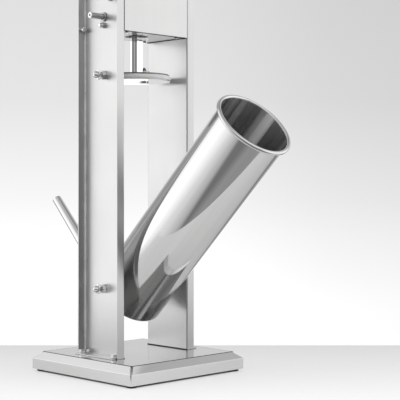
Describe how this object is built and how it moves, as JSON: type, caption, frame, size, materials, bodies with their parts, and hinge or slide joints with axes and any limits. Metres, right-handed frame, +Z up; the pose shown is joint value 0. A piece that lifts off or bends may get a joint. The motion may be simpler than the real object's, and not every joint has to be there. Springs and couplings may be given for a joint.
{
  "type": "sausage stuffer",
  "caption": "Upright stainless sausage stuffer with a tilting cylinder, a piston on a toothed rack, a geared side crank and a filling horn held by a ring nut.",
  "frame": {"origin": "centre of the base's footprint, at the height of the table top that the feet stand on", "axes": "+Z up along the column; the cylinder's open end leans towards +X; the crank is on the -Y side and the filling horn points towards -X"},
  "size_m": [0.6452, 0.3771, 1.2069],
  "materials": {
    "satin_steel": "brushed stainless steel sheet",
    "polished_steel": "polished stainless steel",
    "bright_hardware": "bright stainless fasteners",
    "gear_steel": "machined gear steel, oiled",
    "foot_rubber": "matt black rubber",
    "seal_silicone": "white food-grade silicone",
    "guide_plastic": "black bearing plastic",
    "grip_plastic": "black moulded plastic",
    "bush_steel": "turned steel"
  },
  "bodies": {
    "frame": {"base_pan": "satin_steel", "upright_near": "satin_steel", "upright_far": "satin_steel", "gearbox_front_cover": "satin_steel", "gearbox_rear_cover": "satin_steel", "gearbox_top": "satin_steel", "bearing_plate_near": "satin_steel", "bearing_plate_far": "satin_steel", "gearbox_floor": "polished_steel", "base_bolt_near_back": "bright_hardware", "base_bolt_near_front": "bright_hardware", "base_bolt_far_back": "bright_hardware", "base_bolt_far_front": "bright_hardware", "pivot_stud_near": "bright_hardware", "pivot_nut_near": "bright_hardware", "pivot_dome_near": "bright_hardware", "pivot_stud_far": "bright_hardware", "pivot_nut_far": "bright_hardware", "pivot_dome_far": "bright_hardware", "stop_stud_near": "bright_hardware", "stop_nut_near": "bright_hardware", "stop_dome_near": "bright_hardware", "stop_stud_far": "bright_hardware", "stop_nut_far": "bright_hardware", "stop_dome_far": "bright_hardware", "floor_screw_near_front": "bright_hardware", "floor_screw_near_back": "bright_hardware", "floor_screw_far_front": "bright_hardware", "floor_screw_far_back": "bright_hardware", "flange_screw_near": "bright_hardware", "flange_screw_far": "bright_hardware", "side_bolt_near": "bright_hardware", "side_bolt_far": "bright_hardware", "foot_near_back": "foot_rubber", "foot_near_front": "foot_rubber", "foot_far_back": "foot_rubber", "foot_far_front": "foot_rubber", "rack_guide": "guide_plastic", "shaft_bush_slow": "bush_steel", "shaft_bush_fast": "bush_steel"},
    "cylinder": {"cylinder_tube": "polished_steel", "outlet_elbow": "polished_steel", "filling_horn": "polished_steel"},
    "horn_nut": {"ring_nut": "polished_steel"},
    "ram": {"rack_bar": "polished_steel", "piston_base": "polished_steel", "piston_seal": "seal_silicone", "piston_cap": "polished_steel", "air_valve_housing": "bright_hardware"},
    "air_valve": {"air_valve_stem": "bright_hardware"},
    "fast_train": {"fast_shaft": "polished_steel", "large_gear": "gear_steel", "rack_pinion": "gear_steel", "crank_arm": "polished_steel", "grip_pin": "bright_hardware"},
    "slow_train": {"slow_shaft": "polished_steel", "slow_pinion": "gear_steel"},
    "grip": {"crank_grip": "grip_plastic"},
    "clamp_screw": {"thumb_screw": "grip_plastic"}
  },
  "joints": [
    {"name": "cylinder_tilt", "type": "hinge", "parent": "frame", "child": "cylinder", "pos_m": [-0.004, 0, 0.1704], "axis": [0, -1, 0], "range_deg": [0, 24]},
    {"name": "ram_lift", "type": "slide", "parent": "frame", "child": "ram", "axis": [0, 0, 1], "range_m": [-0.23, 0.05]},
    {"name": "fast_shaft_turn", "type": "hinge", "parent": "frame", "child": "fast_train", "pos_m": [0.01537, 0, 0.74111], "axis": [0, 1, 0], "continuous": true},
    {"name": "slow_shaft_turn", "type": "hinge", "parent": "frame", "child": "slow_train", "pos_m": [-0.004, 0, 0.703], "axis": [0, 1, 0], "continuous": true},
    {"name": "crank_grip_spin", "type": "hinge", "parent": "fast_train", "child": "grip", "pos_m": [0.01537, -0.1801, 0.88111], "axis": [0, 1, 0], "continuous": true},
    {"name": "thumb_screw_turn", "type": "hinge", "parent": "fast_train", "child": "clamp_screw", "pos_m": [0.03037, -0.124, 0.74111], "axis": [1, 0, 0], "continuous": true},
    {"name": "ring_nut_turn", "type": "hinge", "parent": "cylinder", "child": "horn_nut", "pos_m": [-0.09526, 0, 0.16806], "axis": [-0.6978, 0, 0.7163], "continuous": true},
    {"name": "air_valve_lift", "type": "slide", "parent": "ram", "child": "air_valve", "axis": [0, 0, 1], "range_m": [0, 0.003]}
  ],
  "couplings": [
    {"joint": "fast_shaft_turn", "follows": "ram_lift", "rad_per_m": 95.238},
    {"joint": "slow_shaft_turn", "follows": "ram_lift", "rad_per_m": -190.48}
  ]
}
